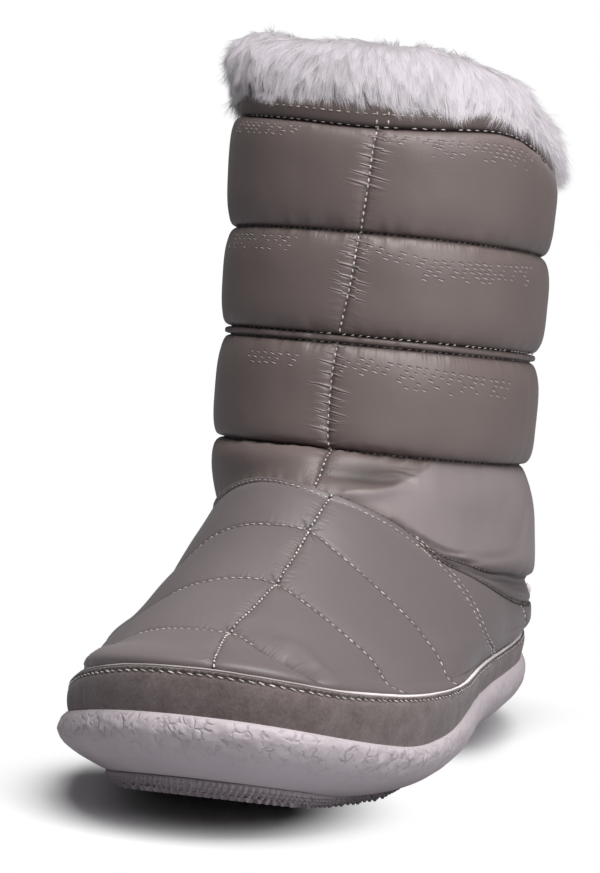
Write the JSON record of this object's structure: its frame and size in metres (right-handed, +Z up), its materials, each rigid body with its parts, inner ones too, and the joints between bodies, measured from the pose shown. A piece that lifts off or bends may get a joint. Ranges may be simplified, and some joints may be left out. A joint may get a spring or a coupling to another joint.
{
  "type": "quilted slipper boot",
  "caption": "Tall padded slipper boot for the right foot, with a deep plush collar, a nubuck band round the foot and a thick moulded foam sole.",
  "frame": {"origin": "middle of the bounding box on the floor, under the sole", "axes": "+Z up, toe towards -Y, heel towards +Y, big-toe side towards +X"},
  "size_m": [0.1207, 0.27, 0.2308],
  "materials": {
    "tread_rubber": "matt, fine knobs",
    "sole_foam": "matt moulded foam",
    "footbed_plush": "short plush",
    "band_nubuck": "buffed nubuck",
    "quilted_nylon": "satin woven nylon over wadding",
    "collar_nylon": "satin woven nylon",
    "collar_plush": "long soft pile"
  },
  "bodies": {
    "root": {"outsole": "tread_rubber", "midsole": "sole_foam", "insole": "footbed_plush", "foxing_band": "band_nubuck", "upper": "quilted_nylon", "shaft": "quilted_nylon", "collar_band": "collar_nylon", "fur_collar": "collar_plush"}
  },
  "joints": []
}
